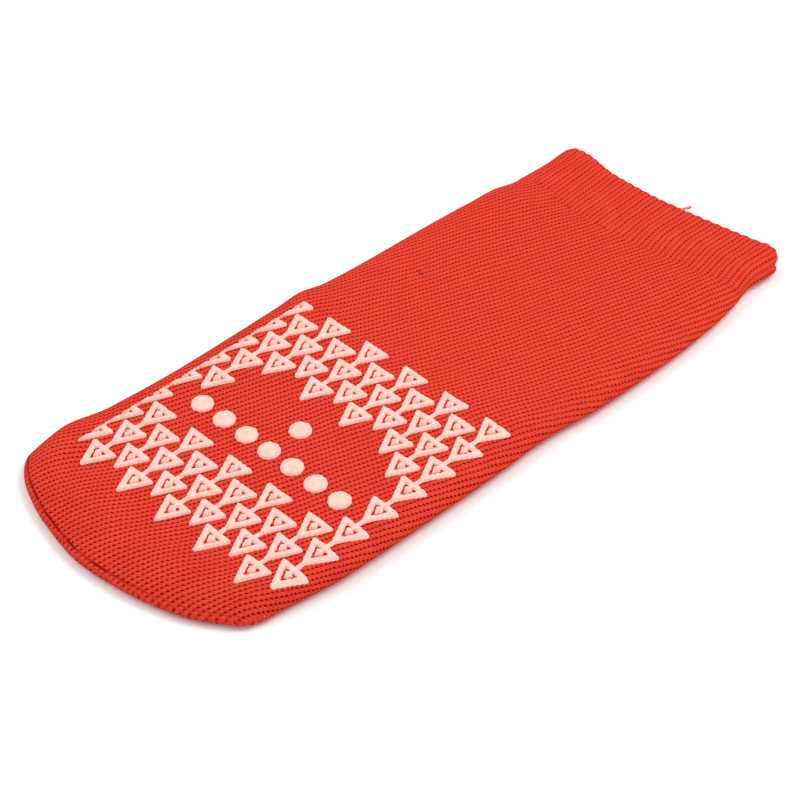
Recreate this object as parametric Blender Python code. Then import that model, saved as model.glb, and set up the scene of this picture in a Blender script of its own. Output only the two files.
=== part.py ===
"""Slipper sock with a printed grip tread, empty, lying flat with its sole face up.

Metres, +Z up. The toe points to -Y, the ribbed cuff to +Y, and the floor is z = 0.
The sock is one knitted tube: a hollow solid, closed along its toe line and open at its cuff.
The tread lies on its sole face in strips of triangles and a row of round dots.
"""
import math

import bmesh
import bpy

MM = 0.001

# Driving sizes of the knitted tube
SOCK_LENGTH = 230.5 * MM
FOOT_WIDTH = 96.0 * MM
LAY_HEIGHT = 7.2 * MM
WALL = 1.2 * MM
FOLD_HEIGHT = 3.5 * MM

# The toe line, the cuff line and the round edges
TOE_DEPTH = 18.5 * MM
TOE_ROUND = 15.0 * MM
TOE_FULLNESS = 1.8
TOE_FOLD_HEIGHT = 2.2 * MM
TOE_FOLD_RUN = 14.0 * MM
TOE_UNDERSIDE_ROUND = 4.0 * MM
TOE_WALL_SHARE = 1.2
SIDE_ROUND = 16.0 * MM
SIDE_FULLNESS = 3.0
UNDERSIDE_ROUND = 6.0 * MM
CUFF_DIP = 5.4 * MM

# The rib cuff is a step in the wall, and the toe seam a groove in it
CUFF_LENGTH = 23.0 * MM
CUFF_STEP = 0.25 * MM
STEP_RUN = 2.0 * MM
SEAM_INSET = 1.4 * MM
SEAM_HALF_WIDTH = 0.5 * MM
SEAM_DEPTH = 0.35 * MM

# The grip tread
TREAD_GAP = 0.3 * MM
TREAD_HEIGHT = 0.8 * MM
TREAD_LENGTH = 91.1 * MM
TREAD_TO_TOE = 20.4 * MM
TREAD_TO_FOLD = 8.0 * MM
TREAD_TO_LEFT = 1.7 * MM
LAST_COLUMN = 5
ROW_COUNT = 16
STEM_LENGTH = 1.3 * MM
STEM_WIDTH = 1.2 * MM
STRIP_CLEARANCE = 0.8 * MM
CORNER_CUT = 0.7 * MM
STROKE = 1.7 * MM
INNER_GAP = 0.6 * MM
NECK_WIDTH = 0.9 * MM

COLUMN_PITCH = (FOOT_WIDTH / 2.0 - TREAD_TO_FOLD) / LAST_COLUMN
ROW_PITCH = (TREAD_LENGTH + STEM_LENGTH) / (ROW_COUNT + 1)
TRIANGLE_HEIGHT = 2.0 * ROW_PITCH - STEM_LENGTH
TRIANGLE_BASE = 2.0 * (COLUMN_PITCH - STRIP_CLEARANCE) / (2.0 - ROW_PITCH / TRIANGLE_HEIGHT)
TREAD_START = TREAD_TO_TOE + TREAD_LENGTH

# The clear window in the tread, a dome whose foot is towards the toe, in columns and rows,
# and the dots in it
ROWS_BELOW_WINDOW = 5
WINDOW_HALF_COLUMNS = 4.62
WINDOW_RISE_ROWS = 6.5
WINDOW_SHIFT_COLUMNS = 0.22
DOT_COUNT = 7
DOT_DIAMETER = 6.6 * MM
DOT_TO_WINDOW_SIDE = 5.5 * MM
DOT_SIDES = 16
DOT_EDGE = 0.3 * MM
DOT_ROW_UP = 0.31
LONE_DOT_UP = 0.64

WINDOW_FOOT = (ROW_COUNT - ROWS_BELOW_WINDOW) * ROW_PITCH + TRIANGLE_HEIGHT / 4.0
WINDOW_HALF_WIDTH = WINDOW_HALF_COLUMNS * COLUMN_PITCH
WINDOW_RISE = WINDOW_RISE_ROWS * ROW_PITCH
WINDOW_TO_RIGHT = WINDOW_SHIFT_COLUMNS * COLUMN_PITCH
DOT_ROW_HALF = WINDOW_HALF_WIDTH - DOT_TO_WINDOW_SIDE - DOT_DIAMETER / 2.0
DOT_PITCH = 2.0 * DOT_ROW_HALF / (DOT_COUNT - 1)

# Fineness of the faceted solid, with the first rows as shares of the toe's round edge
CELLS_ACROSS = 28
FOOT_ROWS = 10
LINING_ROWS = 9
OUTER_TOE_ROWS = (0.0, 0.012, 0.035, 0.2, 0.35, 0.6, 1.0)
LINING_TOE_ROWS = (0.0, 0.02, 0.07, 0.16, 0.32, 0.6, 1.0)
SETTLE_STEPS = 8
WELD_DISTANCE = 0.01 * MM

# Sections of the tube: share of the way from toe line to cuff line, left and right edge as
# shares of half the foot width, and height as a share of the height that it lies at
SECTION_COLUMNS = ("name", "along", "left", "right", "height")
SECTIONS = (
    ("toe corners", 0.000, 1.085, 0.880, 0.92),
    ("toe box", 0.050, 1.090, 0.915, 0.97),
    ("ball", 0.120, 1.025, 0.965, 1.00),
    ("arch", 0.250, 0.998, 0.990, 1.00),
    ("heel front", 0.420, 1.010, 1.005, 1.00),
    ("heel", 0.465, 1.022, 1.000, 1.00),
    ("heel back", 0.510, 0.975, 1.010, 1.00),
    ("ankle", 0.600, 0.950, 1.055, 0.99),
    ("leg", 0.740, 0.935, 1.070, 0.98),
    ("leg end", 0.845, 0.900, 1.050, 0.97),
    ("cuff start", 0.890, 0.855, 1.025, 0.97),
    ("cuff", 0.950, 0.842, 0.975, 0.98),
    ("cuff edge", 1.000, 0.852, 0.990, 1.00),
)

# Toe line: share across from the left fold, setback from the tip as a share of the toe depth
TOE_LINE = (
    (0.00, 1.00),
    (0.015, 0.80),
    (0.06, 0.57),
    (0.12, 0.39),
    (0.27, 0.14),
    (0.46, 0.00),
    (0.62, 0.08),
    (0.81, 0.34),
    (0.93, 0.69),
    (0.98, 0.92),
    (1.00, 1.17),
)

# Cuff line: share across, setback from its furthest corner as a share of the cuff dip
CUFF_LINE = (
    (0.00, 0.66),
    (0.03, 0.22),
    (0.10, 0.32),
    (0.27, 0.91),
    (0.45, 1.00),
    (0.60, 0.82),
    (0.75, 0.56),
    (0.88, 0.26),
    (0.94, 0.00),
    (0.98, 0.30),
    (1.00, 1.10),
)

KNIT_RED = (0.80, 0.055, 0.035)
TREAD_PINK = (0.95, 0.60, 0.51)


def slope_at(points, index):
    """Slope of a smooth curve through the points that never overshoots them."""
    if index in (0, len(points) - 1):
        return 0.0
    before = (points[index][1] - points[index - 1][1]) / (points[index][0] - points[index - 1][0])
    after = (points[index + 1][1] - points[index][1]) / (points[index + 1][0] - points[index][0])
    if before * after <= 0.0:
        return 0.0
    return 2.0 * before * after / (before + after)


def read_curve(points, share):
    """Value of the smooth curve through (share, value) points."""
    share = min(max(share, points[0][0]), points[-1][0])
    index = 0
    while share > points[index + 1][0]:
        index += 1
    start, end = points[index], points[index + 1]
    run = end[0] - start[0]
    t = (share - start[0]) / run
    rise = end[1] - start[1]
    first = slope_at(points, index) * run
    last = slope_at(points, index + 1) * run
    return start[1] + t * (first + t * (3.0 * rise - 2.0 * first - last + t * (first + last - 2.0 * rise)))


def column(name):
    """One column of the section table, as a curve along the sock."""
    place = SECTION_COLUMNS.index(name)
    return [(row[1], row[place]) for row in SECTIONS]


LEFT_EDGE = column("left")
RIGHT_EDGE = column("right")
HEIGHTS = column("height")


def smooth_step(value):
    value = min(max(value, 0.0), 1.0)
    return value * value * (3.0 - 2.0 * value)


def rounding(distance, reach, fullness=2.0):
    """0 at an edge, 1 at reach from it, with a round shoulder between."""
    if distance >= reach:
        return 1.0
    return math.sqrt(max(0.0, 1.0 - (1.0 - distance / reach) ** fullness))


def toe_y(across):
    return read_curve(TOE_LINE, (across + 1.0) / 2.0) * TOE_DEPTH


def cuff_y(across):
    return SOCK_LENGTH - read_curve(CUFF_LINE, (across + 1.0) / 2.0) * CUFF_DIP


def tube_point(across, along, inset=0.0):
    """Plan place, top and underside of the tube.

    across runs from -1 at the left fold to 1 at the right one, along from 0 at the toe line
    to 1 at the cuff line. inset moves the surface inwards, for the lining side of the wall.
    """
    left = read_curve(LEFT_EDGE, along) * FOOT_WIDTH / 2.0
    right = read_curve(RIGHT_EDGE, along) * FOOT_WIDTH / 2.0
    half_width = (left + right) / 2.0 - inset
    x = (right - left) / 2.0 + across * half_width
    start = toe_y(across) + TOE_WALL_SHARE * inset
    run = cuff_y(across) - start
    y = start + along * run
    from_toe = along * run
    height = read_curve(HEIGHTS, along) * LAY_HEIGHT
    if inset == 0.0:
        cuff_start = cuff_y(across) - CUFF_LENGTH
        height += CUFF_STEP * smooth_step((y - cuff_start) / STEP_RUN)
    fold = TOE_FOLD_HEIGHT + (FOLD_HEIGHT - TOE_FOLD_HEIGHT) * smooth_step(from_toe / TOE_FOLD_RUN)
    to_fold = (1.0 - abs(across)) * half_width
    side = rounding(to_fold, SIDE_ROUND, SIDE_FULLNESS)
    top = fold + (height - inset - fold) * side * rounding(from_toe, TOE_ROUND, TOE_FULLNESS)
    if inset == 0.0:
        to_seam = abs(from_toe - SEAM_INSET) / SEAM_HALF_WIDTH
        top -= SEAM_DEPTH * max(0.0, 1.0 - to_seam) * side
    under = rounding(to_fold, UNDERSIDE_ROUND) * rounding(from_toe, TOE_UNDERSIDE_ROUND)
    underside = fold - (fold - inset) * under
    return x, y, top, underside


def stations_across():
    """Shares across, closer together towards the folds."""
    steps = [2.0 * index / CELLS_ACROSS - 1.0 for index in range(CELLS_ACROSS + 1)]
    return [math.sin(step * math.pi / 2.0) for step in steps]


def stations_along(outside):
    """Shares along: close together round the toe line, at the seam and at the cuff step."""
    toe_rows = OUTER_TOE_ROWS if outside else LINING_TOE_ROWS
    near_toe = [share * TOE_ROUND for share in toe_rows]
    rows = LINING_ROWS
    if outside:
        near_toe += [SEAM_INSET - SEAM_HALF_WIDTH, SEAM_INSET, SEAM_INSET + SEAM_HALF_WIDTH]
        rows = FOOT_ROWS
    near_toe.sort()
    cuff_start = SOCK_LENGTH - CUFF_LENGTH
    shares = [distance / SOCK_LENGTH for distance in near_toe]
    first = near_toe[-1]
    for index in range(1, rows + 1):
        shares.append((first + (cuff_start - first) * index / rows) / SOCK_LENGTH)
    if outside:
        shares.append((cuff_start + STEP_RUN) / SOCK_LENGTH)
    shares.append((cuff_start + 0.5 * CUFF_LENGTH) / SOCK_LENGTH)
    shares.append(1.0)
    return shares


def plan_middle():
    """Middle of the tube's own box, seen from above."""
    xs = []
    ys = []
    for along in stations_along(True):
        for across in stations_across():
            x, y, _, _ = tube_point(across, along)
            xs.append(x)
            ys.append(y)
    return (min(xs) + max(xs)) / 2.0, (min(ys) + max(ys)) / 2.0


MIDDLE_X, MIDDLE_Y = plan_middle()


def placed(x, y, z):
    """A point of the sock's own plan in the finished frame."""
    return x - MIDDLE_X, y - MIDDLE_Y, z


def surface_height(x, y):
    """Height of the sole face over a point of the plan."""
    across = 0.0
    along = 0.5
    for _ in range(SETTLE_STEPS):
        along = (y - toe_y(across)) / (cuff_y(across) - toe_y(across))
        left = read_curve(LEFT_EDGE, along) * FOOT_WIDTH / 2.0
        right = read_curve(RIGHT_EDGE, along) * FOOT_WIDTH / 2.0
        across = (x - (right - left) / 2.0) / ((left + right) / 2.0)
        across = min(max(across, -1.0), 1.0)
    return tube_point(across, along)[2]


def make_material(name, colour, roughness):
    material = bpy.data.materials.new(name)
    material.use_nodes = True
    shader = material.node_tree.nodes["Principled BSDF"]
    shader.inputs["Base Color"].default_value = (*colour, 1.0)
    shader.inputs["Roughness"].default_value = roughness
    shader.inputs["Metallic"].default_value = 0.0
    return material


def add_skin(bm, inset):
    """One side of the knitted wall: sole face and instep face, joined at folds and toe line."""
    across_shares = stations_across()
    along_shares = stations_along(inset == 0.0)
    last = len(across_shares) - 1
    sole_face = []
    instep_face = []
    for row, along in enumerate(along_shares):
        upper = []
        lower = []
        for place, across in enumerate(across_shares):
            x, y, top, underside = tube_point(across, along, inset)
            vertex = bm.verts.new(placed(x, y, top))
            upper.append(vertex)
            on_edge = row == 0 or place in (0, last)
            lower.append(vertex if on_edge else bm.verts.new(placed(x, y, underside)))
        sole_face.append(upper)
        instep_face.append(lower)
    outward = inset == 0.0
    for row in range(len(along_shares) - 1):
        for place in range(last):
            add_cell(bm, sole_face, row, place, outward)
            add_cell(bm, instep_face, row, place, not outward)
    return sole_face[-1], instep_face[-1]


def add_cell(bm, grid, row, place, up):
    corners = [grid[row][place], grid[row][place + 1], grid[row + 1][place + 1], grid[row + 1][place]]
    if not up:
        corners.reverse()
    bm.faces.new(corners)


def add_rim(bm, outer, inner, up):
    """The cuff's edge between the outer and the lining side of the wall."""
    for place in range(len(outer) - 1):
        corners = [outer[place], outer[place + 1], inner[place + 1], inner[place]]
        if not up:
            corners.reverse()
        bm.faces.new(corners)


def make_sock_body(collection):
    bm = bmesh.new()
    outer_top, outer_under = add_skin(bm, 0.0)
    inner_top, inner_under = add_skin(bm, WALL)
    add_rim(bm, outer_top, inner_top, True)
    add_rim(bm, outer_under, inner_under, False)
    mesh = bpy.data.meshes.new("sock_body")
    bm.to_mesh(mesh)
    bm.free()
    mesh.shade_smooth()
    mesh.materials.append(make_material("red_knit", KNIT_RED, 0.9))
    body = bpy.data.objects.new("sock_body", mesh)
    collection.objects.link(body)


def in_window(across, down):
    """Whether a place in the tread lies in the clear dome."""
    side = (across - WINDOW_TO_RIGHT) / WINDOW_HALF_WIDTH
    if abs(side) >= 1.0 or down > WINDOW_FOOT:
        return False
    return down > WINDOW_FOOT - WINDOW_RISE * math.sqrt(1.0 - side * side)


def tread_runs():
    """Each column's unbroken runs of triangles: (column number, [row numbers])."""
    runs = []
    for number in range(-LAST_COLUMN, LAST_COLUMN + 1):
        run = []
        for row in range((number + LAST_COLUMN) % 2, ROW_COUNT, 2):
            middle = row * ROW_PITCH + TRIANGLE_HEIGHT / 2.0
            if in_window(number * COLUMN_PITCH, middle):
                if run:
                    runs.append((number, run))
                run = []
            else:
                run.append(row)
        if run:
            runs.append((number, run))
    return runs


def hole_corners(inwards):
    """Half base, top and apex of the triangle that lies inwards from the triangle's edges."""
    slant = math.hypot(TRIANGLE_BASE / 2.0, TRIANGLE_HEIGHT)
    narrowing = (TRIANGLE_BASE / 2.0) / TRIANGLE_HEIGHT
    top = inwards
    apex = TRIANGLE_HEIGHT - inwards * slant / (TRIANGLE_BASE / 2.0)
    return narrowing * (apex - top), top, apex


def strip_outline(run, half):
    """Outline of a strip: down its right side and up its left side, across and down the tread."""
    right = []
    left = []
    hole_half, hole_top, hole_apex = hole_corners(STROKE)
    apex = TRIANGLE_HEIGHT * (1.0 - STEM_WIDTH / TRIANGLE_BASE)
    for row in run:
        start = (row - run[0]) * ROW_PITCH
        if row != run[0]:
            right.append((STEM_WIDTH / 2.0, start))
            left.append((-STEM_WIDTH / 2.0, start))
        for side, points in ((1.0, right), (-1.0, left)):
            points.append((side * (TRIANGLE_BASE / 2.0 - CORNER_CUT), start))
            points.append((side * (TRIANGLE_BASE / 2.0 - CORNER_CUT / 2.0), start + CORNER_CUT))
            points.append((side * STEM_WIDTH / 2.0, start + apex))
    if half:
        left = []
        for row in run:
            start = (row - run[0]) * ROW_PITCH
            left += [(0.0, start), (0.0, start + hole_top)]
            left += [(hole_half, start + hole_top), (0.0, start + hole_apex)]
        left.append((0.0, start + apex))
    return right + left[::-1]


def slot_outline(start):
    """The gap round a small inner triangle, which a neck joins to the bar above it."""
    hole_half, hole_top, hole_apex = hole_corners(STROKE)
    inner_half, inner_top, inner_apex = hole_corners(STROKE + INNER_GAP)
    neck = NECK_WIDTH / 2.0
    right = [(neck, hole_top), (hole_half, hole_top)]
    left = [(-hole_half, hole_top), (-neck, hole_top)]
    inner_left = [(-neck, inner_top), (-inner_half, inner_top)]
    inner_right = [(inner_half, inner_top), (neck, inner_top)]
    loop = right + [(0.0, hole_apex)] + left + inner_left + [(0.0, inner_apex)] + inner_right
    return [(across, start + down) for across, down in loop]


def add_loop(curve, points):
    spline = curve.splines.new("POLY")
    spline.points.add(len(points) - 1)
    for point, (across, down) in zip(spline.points, points):
        point.co = (across, -down, 0.0, 1.0)
    spline.use_cyclic_u = True


def drape(mesh, across, down):
    """Lay a flat pad on the sole face, with its own heights kept."""
    start_x = across - TREAD_TO_LEFT
    start_y = TREAD_START - down
    for vertex in mesh.vertices:
        x = start_x + vertex.co.x
        y = start_y + vertex.co.y
        z = surface_height(x, y) + TREAD_GAP + vertex.co.z
        vertex.co = placed(x, y, z)


def finish_pad(name, mesh, across, down, material, collection):
    drape(mesh, across, down)
    mesh.materials.clear()
    mesh.materials.append(material)
    pad = bpy.data.objects.new(name, mesh)
    collection.objects.link(pad)


def make_strip(name, number, run, material, collection):
    """A strip of triangles that point to the toe, each hung from the one before by a stem."""
    half = number == -LAST_COLUMN
    curve = bpy.data.curves.new(name, "CURVE")
    curve.dimensions = "2D"
    curve.fill_mode = "BOTH"
    curve.extrude = TREAD_HEIGHT / 2.0
    add_loop(curve, strip_outline(run, half))
    if not half:
        for row in run:
            add_loop(curve, slot_outline((row - run[0]) * ROW_PITCH))
    flat = bpy.data.objects.new(name + "_outline", curve)
    collection.objects.link(flat)
    bpy.context.view_layer.update()
    evaluated = flat.evaluated_get(bpy.context.evaluated_depsgraph_get())
    mesh = bpy.data.meshes.new_from_object(evaluated)
    bpy.data.objects.remove(flat)
    bm = bmesh.new()
    bm.from_mesh(mesh)
    bmesh.ops.remove_doubles(bm, verts=bm.verts, dist=WELD_DISTANCE)
    bmesh.ops.translate(bm, verts=bm.verts, vec=(0.0, 0.0, TREAD_HEIGHT / 2.0))
    bmesh.ops.recalc_face_normals(bm, faces=bm.faces)
    bm.to_mesh(mesh)
    bm.free()
    finish_pad(name, mesh, number * COLUMN_PITCH, run[0] * ROW_PITCH, material, collection)


def make_dot(name, across, down, material, collection):
    """A round grip dot with a soft edge."""
    bm = bmesh.new()
    bmesh.ops.create_cone(
        bm, cap_ends=True, segments=DOT_SIDES, radius1=DOT_DIAMETER / 2.0,
        radius2=DOT_DIAMETER / 2.0, depth=TREAD_HEIGHT)
    bmesh.ops.translate(bm, verts=bm.verts, vec=(0.0, 0.0, TREAD_HEIGHT / 2.0))
    rim = [edge for edge in bm.edges if all(vertex.co.z > TREAD_HEIGHT / 2.0 for vertex in edge.verts)]
    bmesh.ops.bevel(bm, geom=rim, offset=DOT_EDGE, segments=1, affect="EDGES")
    mesh = bpy.data.meshes.new(name)
    bm.to_mesh(mesh)
    bm.free()
    finish_pad(name, mesh, across, down, material, collection)


def make_tread(collection):
    material = make_material("pink_tread", TREAD_PINK, 0.6)
    for index, (number, run) in enumerate(tread_runs()):
        make_strip("tread_strip_%02d" % (index + 1), number, run, material, collection)
    dot_row = WINDOW_FOOT - DOT_ROW_UP * WINDOW_RISE
    for index in range(DOT_COUNT):
        across = WINDOW_TO_RIGHT - DOT_ROW_HALF + index * DOT_PITCH
        make_dot("tread_dot_%d" % (index + 1), across, dot_row, material, collection)
    lone_dot = WINDOW_FOOT - LONE_DOT_UP * WINDOW_RISE
    make_dot("tread_dot_%d" % (DOT_COUNT + 1), WINDOW_TO_RIGHT, lone_dot, material, collection)


def main():
    for old in list(bpy.data.objects):
        bpy.data.objects.remove(old)
    collection = bpy.data.collections.new("slipper_sock")
    bpy.context.scene.collection.children.link(collection)
    make_sock_body(collection)
    make_tread(collection)


main()
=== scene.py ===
"""Looks of the slipper sock: fine plain knit, ribbed cuff, toe seam and raised grip print.

Metres, +Z up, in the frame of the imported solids: the toe points to -Y, the cuff to +Y, and the
sole face lies up. The sizes and tables of the tube and of the print are those of the solids.
"""
import math

import bpy
import numpy as np
from mathutils import Matrix, Vector


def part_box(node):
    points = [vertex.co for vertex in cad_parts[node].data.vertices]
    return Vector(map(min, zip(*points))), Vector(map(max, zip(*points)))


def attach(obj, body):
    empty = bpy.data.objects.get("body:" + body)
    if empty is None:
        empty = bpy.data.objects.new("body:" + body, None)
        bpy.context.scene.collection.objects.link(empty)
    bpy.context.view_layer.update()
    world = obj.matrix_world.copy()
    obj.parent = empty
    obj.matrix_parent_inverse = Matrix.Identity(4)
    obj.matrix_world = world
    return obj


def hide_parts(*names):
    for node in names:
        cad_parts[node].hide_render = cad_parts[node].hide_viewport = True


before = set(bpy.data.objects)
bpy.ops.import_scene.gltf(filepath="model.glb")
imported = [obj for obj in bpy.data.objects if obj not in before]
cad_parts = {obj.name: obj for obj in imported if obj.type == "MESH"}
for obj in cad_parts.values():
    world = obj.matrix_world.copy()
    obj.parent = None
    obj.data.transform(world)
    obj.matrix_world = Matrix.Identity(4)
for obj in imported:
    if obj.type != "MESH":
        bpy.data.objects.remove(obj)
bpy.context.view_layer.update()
BODY_LOW, BODY_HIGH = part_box("sock_body")

MM = 0.001

# Sizes of the tube, as in the solids
SOCK_LENGTH = 230.5 * MM
FOOT_WIDTH = 96.0 * MM
LAY_HEIGHT = 7.2 * MM
WALL = 1.2 * MM
FOLD_HEIGHT = 3.5 * MM
TOE_DEPTH = 18.5 * MM
TOE_ROUND = 15.0 * MM
TOE_FULLNESS = 1.8
TOE_FOLD_HEIGHT = 2.2 * MM
TOE_FOLD_RUN = 14.0 * MM
TOE_UNDERSIDE_ROUND = 4.0 * MM
TOE_WALL_SHARE = 1.2
SIDE_ROUND = 16.0 * MM
SIDE_FULLNESS = 3.0
UNDERSIDE_ROUND = 6.0 * MM
CUFF_DIP = 5.4 * MM
CUFF_LENGTH = 23.0 * MM
CUFF_STEP = 0.25 * MM
STEP_RUN = 2.0 * MM

# Sizes of the grip print, as in the solids
TREAD_LENGTH = 91.1 * MM
TREAD_TO_TOE = 20.4 * MM
TREAD_TO_FOLD = 8.0 * MM
TREAD_TO_LEFT = 1.7 * MM
LAST_COLUMN = 5
ROW_COUNT = 16
STEM_LENGTH = 1.3 * MM
STEM_WIDTH = 1.2 * MM
STRIP_CLEARANCE = 0.8 * MM
STROKE = 1.7 * MM
INNER_GAP = 0.6 * MM
NECK_WIDTH = 0.9 * MM
COLUMN_PITCH = (FOOT_WIDTH / 2.0 - TREAD_TO_FOLD) / LAST_COLUMN
ROW_PITCH = (TREAD_LENGTH + STEM_LENGTH) / (ROW_COUNT + 1)
TRIANGLE_HEIGHT = 2.0 * ROW_PITCH - STEM_LENGTH
TRIANGLE_BASE = 2.0 * (COLUMN_PITCH - STRIP_CLEARANCE) / (2.0 - ROW_PITCH / TRIANGLE_HEIGHT)
TREAD_START = TREAD_TO_TOE + TREAD_LENGTH
ROWS_BELOW_WINDOW = 5
WINDOW_HALF_COLUMNS = 4.62
WINDOW_RISE_ROWS = 6.5
WINDOW_SHIFT_COLUMNS = 0.22
DOT_COUNT = 7
DOT_DIAMETER = 6.6 * MM
DOT_TO_WINDOW_SIDE = 5.5 * MM
DOT_ROW_UP = 0.31
LONE_DOT_UP = 0.64
WINDOW_FOOT = (ROW_COUNT - ROWS_BELOW_WINDOW) * ROW_PITCH + TRIANGLE_HEIGHT / 4.0
WINDOW_HALF_WIDTH = WINDOW_HALF_COLUMNS * COLUMN_PITCH
WINDOW_RISE = WINDOW_RISE_ROWS * ROW_PITCH
WINDOW_TO_RIGHT = WINDOW_SHIFT_COLUMNS * COLUMN_PITCH
DOT_ROW_HALF = WINDOW_HALF_WIDTH - DOT_TO_WINDOW_SIDE - DOT_DIAMETER / 2.0
DOT_PITCH = 2.0 * DOT_ROW_HALF / (DOT_COUNT - 1)

# Sections of the tube: share of the way from toe line to cuff line, left and right edge as
# shares of half the foot width, and height as a share of the height that it lies at
SECTION_COLUMNS = ("name", "along", "left", "right", "height")
SECTIONS = (
    ("toe corners", 0.000, 1.085, 0.880, 0.92),
    ("toe box", 0.050, 1.090, 0.915, 0.97),
    ("ball", 0.120, 1.025, 0.965, 1.00),
    ("arch", 0.250, 0.998, 0.990, 1.00),
    ("heel front", 0.420, 1.010, 1.005, 1.00),
    ("heel", 0.465, 1.022, 1.000, 1.00),
    ("heel back", 0.510, 0.975, 1.010, 1.00),
    ("ankle", 0.600, 0.950, 1.055, 0.99),
    ("leg", 0.740, 0.935, 1.070, 0.98),
    ("leg end", 0.845, 0.900, 1.050, 0.97),
    ("cuff start", 0.890, 0.855, 1.025, 0.97),
    ("cuff", 0.950, 0.842, 0.975, 0.98),
    ("cuff edge", 1.000, 0.852, 0.990, 1.00),
)

# Toe line: share across from the left fold, setback from the tip as a share of the toe depth
TOE_LINE = (
    (0.00, 1.00), (0.015, 0.80), (0.06, 0.57), (0.12, 0.39), (0.27, 0.14), (0.46, 0.00),
    (0.62, 0.08), (0.81, 0.34), (0.93, 0.69), (0.98, 0.92), (1.00, 1.17),
)

# Cuff line: share across, setback from its furthest corner as a share of the cuff dip
CUFF_LINE = (
    (0.00, 0.66), (0.03, 0.22), (0.10, 0.32), (0.27, 0.91), (0.45, 1.00), (0.60, 0.82),
    (0.75, 0.56), (0.88, 0.26), (0.94, 0.00), (0.98, 0.30), (1.00, 1.10),
)

# The knit: wales on one face, their drift to the left fold towards the toe, courses per metre
FACE_WALES = 54
WALE_DRIFT = 0.169 / MM
TOE_DRIFT = 0.0012 / (MM * MM)
TOE_DRIFT_START = 160.0 * MM
COURSE_RATE = 0.8625 / MM
CUFF_COURSE_RATE = 0.75 / MM
CUFF_SHARE = 1.0 - CUFF_LENGTH / SOCK_LENGTH
COURSE_BEND_TO = 0.85
KNIT_MAP = "knit"
EDGE_MAP = "edges"

# Fineness of the tube: cells on one face, and rows as (start, end, count) from the toe line
FACE_CELLS = 162
OUTER_ROWS = (
    (0.0, 0.6, 8), (0.6, 2.6, 16), (2.6, 6.0, 8), (6.0, 14.0, 12), (14.0, 201.0, 166),
    (201.0, 211.0, 20), (211.0, 227.5, 20), (227.5, 230.5, 6),
)
LINING_ROWS = ((0.0, 3.0, 5), (3.0, 12.0, 4), (12.0, 200.0, 9), (200.0, 230.5, 3))
TOE_CROWDING = 2.0
SETTLE_STEPS = 8
PROFILE_SAMPLES = 4000
MIDWAY = 0.5
TINY = 1e-12

# Relief of the tube: ribs of the cuff and scallops of its edge
RIB_HEIGHT = 0.2 * MM
RIB_FADE = 7.0 * MM
FADING_RIB_SHARE = 0.35
SCALLOP = 0.25 * MM
SCALLOP_RUN = 2.4 * MM
SCALLOP_LEVEL = 0.6
RIM_ROUND = 0.5 * MM
INSTEP_RELIEF_SHARE = 0.5
TOE_CALM = 1.0 * MM

# The toe seam and the pucker where the rib cuff starts: both are clear on the left half, and
# fade from this share across
MARK_CLEAR_TO = -0.05
SEAM_INSET = 1.4 * MM
SEAM_HALF_WIDTH = 0.5 * MM
SEAM_DEPTH = 0.3 * MM
SEAM_FADE_RUN = 0.3
SEAM_FAINT = 0.25
PUCKER_DEPTH = 0.15 * MM
PUCKER_WIDTH = 0.7 * MM
PUCKER_WANDER = 0.9 * MM
PUCKER_WAVE = 17.0 * MM
PUCKER_WANDER_SEED = 1.3
PUCKER_UNEVEN = 0.35
PUCKER_UNEVEN_WAVE = PUCKER_WAVE / 2.7
PUCKER_UNEVEN_SEED = 4.0
PUCKER_FADE_RUN = 0.4
PUCKER_FAINT = 0.2

# The second part of an uneven wave: its share, its rate and how its seed differs
SECOND_SHARE = 0.6
SECOND_RATE = 1.73
SECOND_SEED = 2.1

# Soft creases and swells: name, place across and along, half length and half width in
# millimetres, turn from the sock's length in degrees, height in millimetres
CREASES = (
    ("swell before the cuff, left", -0.55, 0.865, 24.0, 5.0, 84.0, 0.50),
    ("trough at the cuff's middle", 0.10, 0.905, 26.0, 4.5, 96.0, -0.35),
    ("swell before the cuff, right", 0.62, 0.860, 18.0, 5.5, 80.0, 0.40),
    ("trough into the right corner", 0.72, 0.930, 14.0, 4.0, 35.0, -0.35),
    ("pull from the left fold", -0.86, 0.700, 26.0, 5.0, -14.0, -0.30),
    ("long swell of the leg", 0.30, 0.720, 42.0, 11.0, -12.0, 0.25),
    ("long trough of the leg", -0.12, 0.640, 40.0, 9.0, -20.0, -0.20),
    ("swell by the right fold", 0.80, 0.600, 36.0, 6.0, 5.0, 0.20),
    ("trough behind the print", 0.45, 0.535, 22.0, 5.0, 70.0, -0.20),
    ("trough at the toe, left", -0.62, 0.085, 16.0, 7.0, 30.0, -0.50),
    ("swell at the toe, middle", 0.02, 0.060, 26.0, 5.0, 88.0, 0.25),
    ("trough at the toe, right", 0.55, 0.075, 14.0, 6.0, -40.0, -0.30),
)

# The print's own fineness, its edges and the knit's marks on them
PRINT_STEP = 0.34 * MM
PRINT_SINK = 0.2 * MM
PRINT_RISE = 0.85 * MM
PRINT_EDGE = 0.35 * MM
PRINT_MARGIN = 1.0 * MM
EDGE_WAVE = 0.07 * MM
PRINT_SWELL = 0.1 * MM
CORNER_ROUND = 0.65 * MM
INNER_ROUND = 0.35 * MM
PRINT_SHARP_ANGLE = 75.0
SADDLE_POINTS = 6
FAR = 1.0

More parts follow.
